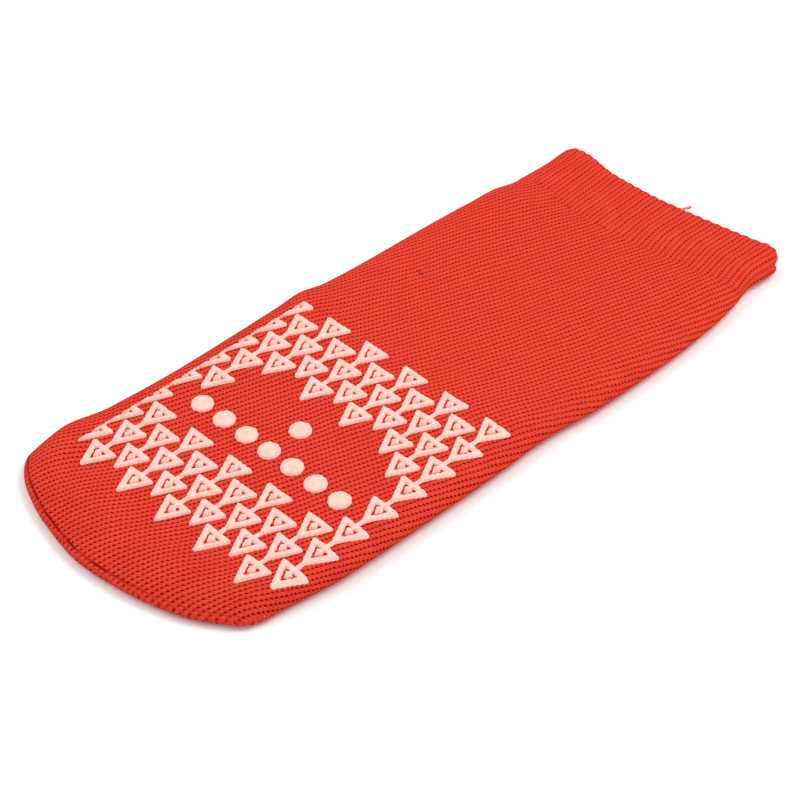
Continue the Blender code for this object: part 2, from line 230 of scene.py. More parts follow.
# A loose end of yarn at the cuff and a bit of lint on the leg, with steps in millimetres
LOOSE_END_ACROSS = 0.16
LOOSE_END_ALONG = 1.0
LOOSE_END_STEPS = (
    (-0.3, -0.6, -0.3), (0.2, 0.2, 0.3), (0.7, 0.8, 0.5), (1.3, 1.3, 0.5), (1.7, 1.9, 0.8),
    (1.5, 1.5, 1.0),
)
LOOSE_END_RADIUS = 0.45 * MM
LOOSE_YARN = (0.86, 0.24, 0.18)
LINT_ACROSS = -0.642
LINT_ALONG = 0.6365
LINT_STEPS = (
    (0.0, 0.0, 0.1), (0.7, -0.35, 0.35), (1.4, -0.6, 0.4), (2.2, -0.7, 0.3), (2.9, -0.7, 0.1),
)
LINT_RADIUS = 0.12 * MM
LINT_BLUE = (0.06, 0.04, 0.16)
THREAD_ROUGHNESS = 0.9
THREAD_FACETS = 2
THREAD_ORDER = 3

# Knit look: colours of the crests with painted highlight, of the sides with painted shade and of the
# holes with painted shade, and the bump in them
KNIT_LIT_CREST = (0.71, 0.064, 0.032)
KNIT_SHADED_SIDE = (0.49, 0.003, 0.008)
KNIT_HOLE_SHADE = (0.27, 0.0, 0.004)
KNIT_ROUGHNESS = 0.85
KNIT_GLOSS = 0.03
KNIT_BUMP = 0.22 * MM
FUZZ_BUMP_SHARE = 0.25
HOLE_BUMP_SHARE = 0.8

# Stitches, in wales and courses: slant of their legs, strands, holes, and how they wander
V_RISE = 1.1
STRAND_SHARE = 0.4
HOLE_HALF_WALE = 0.2
HOLE_HALF_COURSE = 0.72
HOLE_CORE = 0.25
WALE_SWAY = 0.32
WALE_WANDER = 1.1
COURSE_SWAY = 0.6

# Holes are longer and their painted shade is stronger in the foot, which ends between two courses
FOOT_END = (60.0, 130.0)
FOOT_HOLE_GROWTH = 0.13
FOOT_HOLE_SHADE = 0.5

# Strength of the painted shade in a hole by chance, and by its place in the cuff's ribs, weaker on
# the ribs than in their valleys
CHANCE_SHARE = 0.9
CHANCE_START = 0.6
CUFF_START_RUN = 1.2
VALLEY_HOLES = 0.7
CUFF_HOLE_LOSS = -0.88

# Noise: its layers where it is fine, its scales per metre, and its steps along each wale
FINE_DETAIL = 3.0
SWAY_SCALE = 330.0
WANDER_SCALE = 55.0
PATCH_SCALE = 45.0
MOTTLE_SCALE = 130.0
FUZZ_SCALE = 3500.0
SEAM_SCALE = 420.0
PUCKER_SCALE = 230.0
PRINT_SCALE = 500.0
WALE_LINE_STEP = 0.71
COURSE_LINE_STEP = 0.06
PUCKER_LINE_STEP = 0.21

# Ramps of a noise: two of its values, and what they turn into
LINE_STRENGTH = (0.3, 0.7, 0.6, 1.15)
PATCH_STRENGTH = (0.3, 0.65, 0.8, 1.1)
MOTTLE = (0.3, 0.7, -0.06, 0.06)
SEAM_BREAKS = (0.36, 0.5, 0.35, 1.0)
PUCKER_BREAKS = (0.47, 0.6, 0.0, 0.4)
PRINT_PATCHES = (0.35, 0.7, 0.0, 1.0)

# Seam and pucker as marks in the knit, the pucker's as painted shade in its crease: places across in
# metres, widths in millimetres
MARK_CLEAR_X = -0.002
SEAM_END_X = 0.02
PUCKER_END_X = 0.018
STRIP_HOLES = 0.35
STRIP_EDGE = (-0.2, 0.8)
PUCKER_REACH = 3.5
PUCKER_SHADE_HALF_WIDTH = 0.6

# Print look: pinks of its face and of the painted highlight on its rim, and the bump of its patches
# and of the knit in it
PRINT_PINK = (0.93, 0.49, 0.41)
PRINT_PALE = (0.95, 0.57, 0.49)
PRINT_RIM_HIGHLIGHT = (0.98, 0.68, 0.60)
RIM_HIGHLIGHT_TURN = (0.3, 0.95, 1.0, 0.0)
PRINT_ROUGHNESS = 0.5
PRINT_BUMP = 0.15 * MM
PATCH_BUMP_SHARE = 0.6
KNIT_BUMP_SHARE = 0.25

# Camera of the photo, for a square picture
CAMERA_PLACE = (317.53 * MM, -308.01 * MM, 380.43 * MM)
CAMERA_TARGET = (11.18 * MM, -14.90 * MM, 7.2 * MM)
CAMERA_ROLL = -1.483
CAMERA_LENS = 90.0
CAMERA_SENSOR = 36.0
CAMERA_NEAR = 10.0 * MM

# Studio, in metres and watts: a lamp is its name, place, width and power
FLOOR_REACH = 3.0
FLOOR_GREY = (0.92, 0.92, 0.92)
FLOOR_ROUGHNESS = 0.9
SKY_STRENGTH = 0.75
LAMPS = (
    ("key", (0.5, 0.9, 1.3), 1.0, 14.0),
    ("fill", (-0.9, -0.6, 1.2), 1.4, 8.0),
)


def read_curve(points, share):
    """Values of the smooth curve through (share, value) points that never overshoots them."""
    places, values = np.array(points).T
    runs = np.diff(places)
    steps = np.diff(values) / runs
    before, after = steps[:-1], steps[1:]
    same_way = before * after > 0.0
    total = np.where(same_way, before + after, 1.0)
    slopes = np.zeros(len(places))
    slopes[1:-1] = np.where(same_way, 2.0 * before * after / total, 0.0)
    share = np.clip(share, places[0], places[-1])
    index = np.clip(np.searchsorted(places, share) - 1, 0, len(runs) - 1)
    run = runs[index]
    t = (share - places[index]) / run
    rise = values[index + 1] - values[index]
    first = slopes[index] * run
    last = slopes[index + 1] * run
    bend = 3.0 * rise - 2.0 * first - last + t * (first + last - 2.0 * rise)
    return values[index] + t * (first + t * bend)


def section_column(name):
    place = SECTION_COLUMNS.index(name)
    return [(row[1], row[place]) for row in SECTIONS]


LEFT_EDGE = section_column("left")
RIGHT_EDGE = section_column("right")
HEIGHTS = section_column("height")


def smooth_step(value):
    value = np.clip(value, 0.0, 1.0)
    return value * value * (3.0 - 2.0 * value)


def rounding(distance, reach, fullness=2.0):
    """0 at an edge, 1 at reach from it, with a round shoulder between."""
    left_over = np.clip(1.0 - distance / reach, 0.0, 1.0)
    return np.sqrt(1.0 - left_over ** fullness)


def toe_y(across):
    return read_curve(TOE_LINE, (across + 1.0) / 2.0) * TOE_DEPTH


def cuff_y(across):
    return SOCK_LENGTH - read_curve(CUFF_LINE, (across + 1.0) / 2.0) * CUFF_DIP


def tube_surface(across, along, inset=0.0):
    """Plan place, top and underside of the tube, and the way from the toe line.

    across runs from -1 at the left fold to 1 at the right one, along from 0 at the toe line
    to 1 at the cuff line. inset moves the surface inwards, for the lining side of the wall.
    """
    left = read_curve(LEFT_EDGE, along) * FOOT_WIDTH / 2.0
    right = read_curve(RIGHT_EDGE, along) * FOOT_WIDTH / 2.0
    half_width = (left + right) / 2.0 - inset
    x = (right - left) / 2.0 + across * half_width
    start = toe_y(across) + TOE_WALL_SHARE * inset
    run = cuff_y(across) - start
    y = start + along * run
    from_toe = along * run
    height = read_curve(HEIGHTS, along) * LAY_HEIGHT
    if inset == 0.0:
        height = height + CUFF_STEP * smooth_step((y - cuff_y(across) + CUFF_LENGTH) / STEP_RUN)
    fold = TOE_FOLD_HEIGHT + (FOLD_HEIGHT - TOE_FOLD_HEIGHT) * smooth_step(from_toe / TOE_FOLD_RUN)
    to_fold = (1.0 - np.abs(across)) * half_width
    side = rounding(to_fold, SIDE_ROUND, SIDE_FULLNESS)
    top = fold + (height - inset - fold) * side * rounding(from_toe, TOE_ROUND, TOE_FULLNESS)
    under = rounding(to_fold, UNDERSIDE_ROUND) * rounding(from_toe, TOE_UNDERSIDE_ROUND)
    underside = fold - (fold - inset) * under
    return x, y, top, underside, from_toe


def find_place(x, y):
    """Shares across and along of plan points on the sole face."""
    across = np.zeros_like(x)
    along = np.full_like(x, MIDWAY)
    for _ in range(SETTLE_STEPS):
        along = (y - toe_y(across)) / (cuff_y(across) - toe_y(across))
        left = read_curve(LEFT_EDGE, along) * FOOT_WIDTH / 2.0
        right = read_curve(RIGHT_EDGE, along) * FOOT_WIDTH / 2.0
        across = np.clip((x - (right - left) / 2.0) / ((left + right) / 2.0), -1.0, 1.0)
    return across, along


def even_stations():
    """Shares across that lie evenly round the sole face, and the underside's own shares."""
    dense = np.sin(np.linspace(-math.pi / 2.0, math.pi / 2.0, PROFILE_SAMPLES))
    x, _, top, _, _ = tube_surface(dense, np.full_like(dense, MIDWAY))
    length = np.concatenate(([0.0], np.cumsum(np.hypot(np.diff(x), np.diff(top)))))
    stations = np.interp(np.linspace(0.0, length[-1], FACE_CELLS + 1), length, dense)
    stations[0], stations[-1] = -1.0, 1.0
    x, _, _, under, _ = tube_surface(stations, np.full_like(stations, MIDWAY))
    length = np.concatenate(([0.0], np.cumsum(np.hypot(np.diff(x), np.diff(under)))))
    return stations, length / length[-1]


def row_shares(table):
    shares = [0.0]
    for start, end, count in table:
        for index in range(1, count + 1):
            step = index / count
            if start == 0.0:
                step = step ** TOE_CROWDING
            shares.append((start + (end - start) * step) * MM / SOCK_LENGTH)
    return np.array(shares)


STATIONS, UNDER_SHARES = even_stations()
PLAN = tube_surface(STATIONS[None, :], row_shares(OUTER_ROWS)[:, None])
SHIFT_X = (BODY_LOW[0] + BODY_HIGH[0]) / 2.0 - (PLAN[0].min() + PLAN[0].max()) / 2.0
SHIFT_Y = (BODY_LOW[1] + BODY_HIGH[1]) / 2.0 - (PLAN[1].min() + PLAN[1].max()) / 2.0


def wave(place, length, seed):
    """A soft uneven wave between -1 and 1."""
    turn = 2.0 * math.pi * place / length
    second = np.sin(SECOND_RATE * turn + SECOND_SEED * seed)
    return (np.sin(turn + seed) + SECOND_SHARE * second) / (1.0 + SECOND_SHARE)


def swells(x, y):
    """Height of the soft creases over the plan."""
    height = np.zeros_like(x)
    for _, across, along, length, width, turn, rise in CREASES:
        middle_x, middle_y = tube_surface(np.array(across), np.array(along))[:2]
        angle = math.radians(turn)
        down = (y - middle_y) * math.cos(angle) + (x - middle_x) * math.sin(angle)
        side = (x - middle_x) * math.cos(angle) - (y - middle_y) * math.sin(angle)
        reach = (down / (length * MM)) ** 2 + (side / (width * MM)) ** 2
        height += rise * MM * np.exp(-reach)
    return height


def ring_of(sole_face, instep_face=None):
    """Both faces as one ring of columns: over the sole face, and back underneath."""
    if instep_face is None:
        instep_face = sole_face
    return np.concatenate((sole_face[:, :-1], instep_face[:, :0:-1]), axis=1)


def knit_way(y, across):
    """Way along the knit, whose courses are bent as the middle of the cuff line is."""
    return y + SOCK_LENGTH - cuff_y(np.clip(across, -COURSE_BEND_TO, COURSE_BEND_TO))


def wales_of(counts, way):
    """Wale count with the drift of the wales, from the count at the cuff."""
    below = np.maximum(CUFF_SHARE * SOCK_LENGTH - way, 0.0)
    far = np.maximum(below - TOE_DRIFT_START, 0.0)
    return counts + WALE_DRIFT * below + TOE_DRIFT * far * far


def courses_of(way):
    """Course count: closer together on the foot and leg than in the cuff."""
    cuff_way = np.maximum(way - CUFF_SHARE * SOCK_LENGTH, 0.0)
    return (way - cuff_way) * COURSE_RATE + cuff_way * CUFF_COURSE_RATE


def relief(x, y, from_toe, from_cuff, across, wales, sole_up):
    """Height of the ribs, the toe seam, the pucker at the cuff and the soft creases."""
    rib = 0.5 - 0.5 * np.cos(math.pi * wales)
    in_cuff = smooth_step(-from_cuff / STEP_RUN + 0.5)
    fading = np.exp(-np.maximum(from_cuff, 0.0) / RIB_FADE) * FADING_RIB_SHARE
    height = RIB_HEIGHT * rib * np.maximum(in_cuff, fading)
    line = from_cuff - PUCKER_WANDER * wave(x, PUCKER_WAVE, PUCKER_WANDER_SEED)
    uneven = 1.0 - PUCKER_UNEVEN + PUCKER_UNEVEN * wave(x, PUCKER_UNEVEN_WAVE, PUCKER_UNEVEN_SEED)
    uneven *= 1.0 - (1.0 - PUCKER_FAINT) * smooth_step((across - MARK_CLEAR_TO) / PUCKER_FADE_RUN)
    height -= PUCKER_DEPTH * uneven * np.exp(-(line / PUCKER_WIDTH) ** 2)
    to_seam = from_toe - SEAM_INSET
    clear = 1.0 - (1.0 - SEAM_FAINT) * smooth_step((across - MARK_CLEAR_TO) / SEAM_FADE_RUN)
    seam = SEAM_DEPTH * np.maximum(0.0, 1.0 - np.abs(to_seam) / SEAM_HALF_WIDTH)
    height -= np.where(sole_up, seam * clear, 0.0)
    height += np.where(sole_up, swells(x, y), 0.0)
    return height * np.where(sole_up, 1.0, INSTEP_RELIEF_SHARE)


def normals_of(points):
    """Outward normals of a ring grid."""
    around = np.roll(points, -1, axis=1) - np.roll(points, 1, axis=1)
    forward = np.gradient(points, axis=0)
    normal = np.cross(around, forward)
    return normal / np.maximum(np.linalg.norm(normal, axis=2, keepdims=True), TINY)


def skin_points(rows, inset):
    """Points of one side of the wall as a ring grid, with their places in the knit.

    A place is wale count, course count, way from the toe line and way to the cuff. The toe
    seam shows on the sole face alone, so the instep face lies far from the toe line.
    """
    across = STATIONS[None, :]
    x, y, top, under, from_toe = tube_surface(across, rows[:, None], inset)
    points = np.stack((ring_of(x), ring_of(y), ring_of(top, under)), axis=2)
    from_cuff = ring_of(cuff_y(across) - CUFF_LENGTH - y)
    way = ring_of(knit_way(y, across))
    counts = np.concatenate((np.linspace(0.0, FACE_WALES, FACE_CELLS + 1)[:-1],
                             FACE_WALES * (2.0 - UNDER_SHARES[:0:-1])))
    wales = wales_of(counts[None, :], way)
    sole_up = (np.arange(points.shape[1]) <= FACE_CELLS)[None, :]
    from_toe = ring_of(from_toe)
    edges = (np.where(sole_up, from_toe, FAR), from_cuff)
    if inset == 0.0:
        shares = ring_of(np.broadcast_to(across, x.shape))
        height = relief(points[..., 0], points[..., 1], from_toe, from_cuff, shares, wales, sole_up)
        height *= smooth_step(from_toe / TOE_CALM)
        points = points + normals_of(points) * height[..., None]
        arc = np.abs(np.sin(math.pi * wales / 2.0))
        edge = smooth_step((-from_cuff - CUFF_LENGTH + SCALLOP_RUN) / SCALLOP_RUN)
        points[..., 1] += SCALLOP * (arc - SCALLOP_LEVEL) * edge
        points[..., 2] = np.maximum(points[..., 2], 0.0)
    points += np.array((SHIFT_X, SHIFT_Y, 0.0))
    return points, np.stack((wales, courses_of(way), *edges), axis=2)


def grid_faces(ids, places, outward):
    """Quads of a ring grid and the place in the knit of each of their corners."""
    ahead = np.roll(ids, -1, axis=1)
    next_places = np.roll(places, -1, axis=1)
    next_places[:, -1, 0] += 2.0 * FACE_WALES
    corners = [ids[:-1], ahead[:-1], ahead[1:], ids[1:]]
    maps = [places[:-1], next_places[:-1], next_places[1:], places[1:]]
    if not outward:
        corners.reverse()
        maps.reverse()
    faces = np.stack(corners, axis=2).reshape(-1, 4)
    return faces, np.stack(maps, axis=2).reshape(-1, places.shape[2])


def new_piece(name, points, faces, material):
    mesh = bpy.data.meshes.new(name)
    mesh.from_pydata(points, [], faces)
    mesh.materials.append(material)
    piece = bpy.data.objects.new(name, mesh)
    bpy.context.scene.collection.objects.link(piece)
    return piece


def closed_toe(ids):
    """The toe line's points are shared by the sole face and the instep face."""
    ids[0, FACE_CELLS + 1:] = ids[0, 1:FACE_CELLS][::-1]
    return ids


def make_sock(material):
    """The knitted tube: outside, rounded cuff edge and lining, as one closed wall."""
    outer, outer_places = skin_points(row_shares(OUTER_ROWS), 0.0)
    inner, inner_places = skin_points(row_shares(LINING_ROWS), WALL)
    rim = (outer[-1:] + inner[-1:]) / 2.0
    rim[..., 1] += RIM_ROUND
    outer = np.concatenate((outer, rim))
    next_course = np.array((0.0, 1.0, 0.0, 0.0))
    rim_places = outer_places[-1:] + next_course
    outer_places = np.concatenate((outer_places, rim_places))
    outer_ids = closed_toe(np.arange(outer.shape[0] * outer.shape[1]).reshape(outer.shape[:2]))
    inner_ids = np.arange(inner.shape[0] * inner.shape[1]).reshape(inner.shape[:2])
    inner_ids = closed_toe(inner_ids + outer_ids.max() + 1)
    rim_ids = np.stack((outer_ids[-1], inner_ids[-1]))
    last_places = np.stack((outer_places[-1], outer_places[-1] + next_course))
    parts = [
        grid_faces(outer_ids, outer_places, True),
        grid_faces(rim_ids, last_places, True),
        grid_faces(inner_ids, inner_places, False),
    ]
    faces = np.concatenate([part[0] for part in parts])
    maps = np.concatenate([part[1] for part in parts])
    points = np.concatenate((outer.reshape(-1, 3), inner.reshape(-1, 3)))
    used, faces = np.unique(faces, return_inverse=True)
    sock = new_piece("sock_knit", points[used].tolist(), faces.reshape(-1, 4).tolist(), material)
    for name, columns in ((KNIT_MAP, maps[:, :2]), (EDGE_MAP, maps[:, 2:] / MM)):
        layer = sock.data.uv_layers.new(name=name)
        layer.uv.foreach_set("vector", columns.astype(np.float32).ravel())
    sock.data.shade_smooth()
    return sock


def in_window(across, down):
    """Whether a place in the tread lies in the clear dome."""
    side = (across - WINDOW_TO_RIGHT) / WINDOW_HALF_WIDTH
    if abs(side) >= 1.0 or down > WINDOW_FOOT:
        return False
    return down > WINDOW_FOOT - WINDOW_RISE * math.sqrt(1.0 - side * side)


def tread_runs():
    """Each column's unbroken runs of triangles: (column number, [row numbers])."""
    runs = []
    for number in range(-LAST_COLUMN, LAST_COLUMN + 1):
        run = []
        for row in range((number + LAST_COLUMN) % 2, ROW_COUNT, 2):
            middle = row * ROW_PITCH + TRIANGLE_HEIGHT / 2.0
            if in_window(number * COLUMN_PITCH, middle):
                if run:
                    runs.append((number, run))
                run = []
            else:
                run.append(row)
        if run:
            runs.append((number, run))
    return runs


def inner_triangle(inwards):
    """Half base, top and apex of the triangle that lies inwards from the triangle's edges."""
    slant = math.hypot(TRIANGLE_BASE / 2.0, TRIANGLE_HEIGHT)
    narrowing = (TRIANGLE_BASE / 2.0) / TRIANGLE_HEIGHT
    apex = TRIANGLE_HEIGHT - inwards * slant / (TRIANGLE_BASE / 2.0)
    return narrowing * (apex - inwards), inwards, apex


def to_segment(x, down, start, end):
    """Distance from each point to a straight stretch."""
    run_x, run_down = end[0] - start[0], end[1] - start[1]
    length = run_x * run_x + run_down * run_down
    t = np.clip(((x - start[0]) * run_x + (down - start[1]) * run_down) / length, 0.0, 1.0)
    return np.hypot(x - start[0] - t * run_x, down - start[1] - t * run_down)


def triangle_distance(x, down, inwards, corner_round):
    """Signed distance to the triangle that lies inwards, with rounded corners, negative in it."""
    half, top, apex = inner_triangle(inwards + corner_round)
    slant = math.hypot(half, apex - top)
    side = (np.abs(x) * (apex - top) + (down - apex) * half) / slant
    above = top - down
    corner = to_segment(np.abs(x), down, (half, top), (0.0, apex))
    corner = np.minimum(corner, to_segment(np.abs(x), down, (half, top), (0.0, top)))
    flat = np.maximum(side, above)
    return np.where(flat > 0.0, corner, flat) - corner_round


def motif_distance(x, down, hung):
    """Signed distance to the edge of one triangle with a small one inside, negative in it."""
    outside = triangle_distance(x, down, -PRINT_SWELL, CORNER_ROUND)
    hole = triangle_distance(x, down, STROKE - PRINT_SWELL, INNER_ROUND)
    inside = triangle_distance(x, down, STROKE + INNER_GAP - PRINT_SWELL, INNER_ROUND)
    field = np.minimum(np.maximum(outside, -hole), inside)
    top = STROKE + INNER_GAP + INNER_ROUND
    neck = to_segment(x, down, (0.0, STROKE / 2.0), (0.0, top))
    field = np.minimum(field, neck - NECK_WIDTH / 2.0 - PRINT_SWELL)
    if hung:
        stem = to_segment(x, down, (0.0, -STEM_LENGTH - STROKE), (0.0, STROKE / 2.0))
        field = np.minimum(field, stem - STEM_WIDTH / 2.0)
    return field


def print_field(across, down):
    """Signed distance to the edge of the print over a grid of its own plan."""
    field = np.full((len(down), len(across)), FAR)

    def stamp(middle, start, reach_x, reach_down, shape):
        columns = np.abs(across - middle) < reach_x + PRINT_MARGIN
        rows = (down > start - reach_down[0]) & (down < start + reach_down[1])
        window = np.ix_(rows, columns)
        x, y = np.meshgrid(across[columns] - middle, down[rows] - start)
        field[window] = np.minimum(field[window], shape(x, y))

    for number, run in tread_runs():
        for row in run:
            def triangle(x, y):
                distance = motif_distance(x, y, row != run[0])
                return np.maximum(distance, -x) if number == -LAST_COLUMN else distance
            stamp(number * COLUMN_PITCH, row * ROW_PITCH, TRIANGLE_BASE / 2.0,
                  (STEM_LENGTH + STROKE, TRIANGLE_HEIGHT + PRINT_MARGIN), triangle)
    radius = DOT_DIAMETER / 2.0
    reach = radius + PRINT_MARGIN
    places = [(WINDOW_TO_RIGHT - DOT_ROW_HALF + index * DOT_PITCH, DOT_ROW_UP)
              for index in range(DOT_COUNT)]
    for middle, up in places + [(WINDOW_TO_RIGHT, LONE_DOT_UP)]:
        stamp(middle, WINDOW_FOOT - up * WINDOW_RISE, radius, (reach, reach),
              lambda x, y: np.hypot(x, y) - radius)
    return field


def cut_cells(field):
    """Outline cells of the field's negative part, as polygons of grid and edge points.

    A point is a pair of neighbours of the grid, or one place of the grid twice. A cell with
    two opposite corners inside gives two triangles.
    """
    inside = field < 0.0
    count = (inside[:-1, :-1].astype(int) + inside[:-1, 1:] + inside[1:, 1:] + inside[1:, :-1])
    cells = []
    for row, column in zip(*np.nonzero(count)):
        corners = [(row, column), (row + 1, column), (row + 1, column + 1), (row, column + 1)]
        if count[row, column] == 4:
            cells.append([(corner, corner) for corner in corners])
            continue
        polygon = []
        for first, second in zip(corners, corners[1:] + corners[:1]):
            if inside[first]:
                polygon.append((first, first))
            if inside[first] != inside[second]:
                polygon.append((min(first, second), max(first, second)))
        if len(polygon) < SADDLE_POINTS:
            cells.append(polygon)
            continue
        if inside[corners[0]]:
            polygon = polygon[-1:] + polygon[:-1]
        cells += [polygon[:3], polygon[3:]]
    return cells


def make_print(material):
    """The grip print: triangles and dots with round edges, seated in the knit."""
    half = COLUMN_PITCH * LAST_COLUMN + TRIANGLE_BASE / 2.0 + PRINT_MARGIN
    across = np.arange(-half, half, PRINT_STEP)
    down = np.arange(-PRINT_MARGIN, TREAD_LENGTH + PRINT_MARGIN, PRINT_STEP)
    plan_x, plan_down = np.meshgrid(across, down)
    plan_x = plan_x - TREAD_TO_LEFT
    plan_y = TREAD_START - plan_down
    shares, along = find_place(plan_x, plan_y)
    way = knit_way(plan_y, shares)
    wales = wales_of(np.interp(shares, STATIONS, np.linspace(0.0, FACE_WALES, FACE_CELLS + 1)), way)
    courses = courses_of(way)
    field = print_field(across, down)
    field += EDGE_WAVE * (np.cos(2.0 * math.pi * wales) + np.cos(2.0 * math.pi * courses))
    ground = tube_surface(shares, along)[2] + swells(plan_x, plan_y)
    rise = PRINT_RISE * rounding(-field, PRINT_EDGE)
    seat = ground - PRINT_SINK
    cells = cut_cells(field)
    ids = {}
    points = []
    maps = []

    def corner(key, on_top):
        first, second = key
        if first != second:
            on_top = True
        if (key, on_top) not in ids:
            share = 0.0
            if first != second:
                share = field[first] / (field[first] - field[second])
            x = plan_x[first] + share * (plan_x[second] - plan_x[first])
            y = plan_y[first] + share * (plan_y[second] - plan_y[first])
            z = seat[first] + (rise[first] + PRINT_SINK if on_top and first == second else 0.0)
            ids[(key, on_top)] = len(points)
            points.append((x + SHIFT_X, y + SHIFT_Y, z))
            maps.append((wales[first], courses[first]))
        return ids[(key, on_top)]

    faces = [[corner(key, True) for key in polygon] for polygon in cells]
    faces += [[corner(key, False) for key in reversed(polygon)] for polygon in cells]
    tread = new_piece("grip_print", points, faces, material)
    layer = tread.data.uv_layers.new(name=KNIT_MAP)
    order = np.empty(len(tread.data.loops), dtype=np.int32)
    tread.data.loops.foreach_get("vertex_index", order)
    layer.uv.foreach_set("vector", np.array(maps, dtype=np.float32)[order].ravel())
    tread.data.shade_smooth()
    tread.data.set_sharp_from_angle(angle=math.radians(PRINT_SHARP_ANGLE))
    return tread


def new_material(name, colour, roughness):
    """A material and its tree, with the constant values set on the shader itself."""
    material = bpy.data.materials.new(name)
    material.use_nodes = True
    shader = material.node_tree.nodes["Principled BSDF"]
    shader.inputs["Base Color"].default_value = (*colour, 1.0)
    shader.inputs["Roughness"].default_value = roughness
    return material, material.node_tree, shader


def feed(tree, socket, value):
    """Link a socket to another node's output, or set its value."""
    if isinstance(value, bpy.types.NodeSocket):
        tree.links.new(value, socket)
    else:
        socket.default_value = value


def calc(tree, operation, *values):
    node = tree.nodes.new("ShaderNodeMath")
    node.operation = operation
    for socket, value in zip(node.inputs, values):
        feed(tree, socket, value)
    return node.outputs[0]


def ramp(tree, value, low, high, start=0.0, end=1.0):
    """value from low to high, as start to end, with soft ends."""
    node = tree.nodes.new("ShaderNodeMapRange")
    node.interpolation_type = "SMOOTHSTEP"
    feed(tree, node.inputs["Value"], value)
    node.inputs["From Min"].default_value = low
    node.inputs["From Max"].default_value = high
    node.inputs["To Min"].default_value = start
    node.inputs["To Max"].default_value = end
    return node.outputs["Result"]


def mix_colour(tree, factor, first, second):
    node = tree.nodes.new("ShaderNodeMix")
    node.data_type = "RGBA"
    feed(tree, node.inputs[0], factor)
    for socket, value in ((node.inputs[6], first), (node.inputs[7], second)):
        feed(tree, socket, value if isinstance(value, bpy.types.NodeSocket) else (*value, 1.0))
    return node.outputs[2]


def noise_at(tree, vector, scale, detail=2.0):
    node = tree.nodes.new("ShaderNodeTexNoise")
    node.inputs["Scale"].default_value = scale
    node.inputs["Detail"].default_value = detail
    feed(tree, node.inputs["Vector"], vector)
    return node.outputs[0]


def add_bump(tree, shader, height, distance):
    """Bump in the shader from a height, where 1 stands distance above 0."""
    bump = tree.nodes.new("ShaderNodeBump")
    bump.inputs["Distance"].default_value = distance
    tree.links.new(height, bump.inputs["Height"])
    tree.links.new(bump.outputs[0], shader.inputs["Normal"])


def chance(tree, first, second):
    """An even random value for each pair of whole numbers."""
    node = tree.nodes.new("ShaderNodeTexWhiteNoise")
    node.noise_dimensions = "2D"
    feed(tree, node.inputs["Vector"], join(tree, first, second))
    return node.outputs["Value"]


def object_place(tree):
    return tree.nodes.new("ShaderNodeTexCoord").outputs["Object"]


def split(tree, vector):
    node = tree.nodes.new("ShaderNodeSeparateXYZ")
    feed(tree, node.inputs[0], vector)
    return node.outputs


def join(tree, x, y, z=0.0):
    node = tree.nodes.new("ShaderNodeCombineXYZ")
    for socket, value in zip(node.inputs, (x, y, z)):
        feed(tree, socket, value)
    return node.outputs[0]


def read_map(tree, name):
    """The two values that a map of the mesh holds."""
    node = tree.nodes.new("ShaderNodeUVMap")
    node.uv_map = name
    return split(tree, node.outputs[0])[:2]


def stitches(tree, wales, courses, hole_length=HOLE_HALF_COURSE):
    """Height of the wales with their strands, and the holes between wales, one at each course."""
    off_middle = calc(tree, "ABSOLUTE", calc(tree, "SUBTRACT", calc(tree, "FRACT", wales), 0.5))
    step = calc(tree, "MULTIPLY_ADD", off_middle, V_RISE, courses)
    strand = calc(tree, "ABSOLUTE", calc(tree, "SINE", calc(tree, "MULTIPLY", step, math.pi)))
    column = calc(tree, "COSINE", calc(tree, "MULTIPLY", off_middle, math.pi))
    column = calc(tree, "MULTIPLY", column, 1.0 - STRAND_SHARE)
    height = calc(tree, "MULTIPLY_ADD", strand, STRAND_SHARE, column)
    to_side = calc(tree, "DIVIDE", calc(tree, "SUBTRACT", 0.5, off_middle), HOLE_HALF_WALE)
    to_course = calc(tree, "DIVIDE", strand, hole_length)
    spread = calc(tree, "ADD", calc(tree, "POWER", to_side, 2.0), calc(tree, "POWER", to_course, 2.0))
    return height, ramp(tree, spread, HOLE_CORE, 1.0, 1.0, 0.0)


def line_at(tree, value, place, half_width):
    """1 on the line where value is at place, 0 from half_width on."""
    off = calc(tree, "ABSOLUTE", calc(tree, "SUBTRACT", value, place))
    return ramp(tree, off, 0.0, half_width, 1.0, 0.0)


def toe_seam(tree, from_toe, place):
    """The dark seam line near the toe, left half clear, and the smooth strip outside it."""
    x = split(tree, place)[0]
    inset = SEAM_INSET / MM
    unbroken = ramp(tree, noise_at(tree, place, SEAM_SCALE), *SEAM_BREAKS)
    clear = ramp(tree, x, MARK_CLEAR_X, SEAM_END_X, 1.0, SEAM_FAINT)
    line = line_at(tree, from_toe, inset, SEAM_HALF_WIDTH / MM)
    strip = ramp(tree, from_toe, inset + STRIP_EDGE[0], inset + STRIP_EDGE[1], STRIP_HOLES, 1.0)
    return calc(tree, "MULTIPLY", line, calc(tree, "MULTIPLY", unbroken, clear)), strip


def cuff_pucker_shade(tree, wales, from_cuff, place):
    """Short marks of painted shade in the pucker where the rib cuff starts."""
    wander = noise_at(tree, join(tree, calc(tree, "MULTIPLY", wales, PUCKER_LINE_STEP), 0.0), 1.0)
    shifted = calc(tree, "MULTIPLY_ADD", wander, PUCKER_REACH, from_cuff)
    line = line_at(tree, shifted, PUCKER_REACH / 2.0, PUCKER_SHADE_HALF_WIDTH)
    broken = ramp(tree, noise_at(tree, place, PUCKER_SCALE), *PUCKER_BREAKS)
    left_side = ramp(tree, split(tree, place)[0], MARK_CLEAR_X, PUCKER_END_X, 1.0, PUCKER_FAINT)
    return calc(tree, "MULTIPLY", line, calc(tree, "MULTIPLY", broken, left_side))


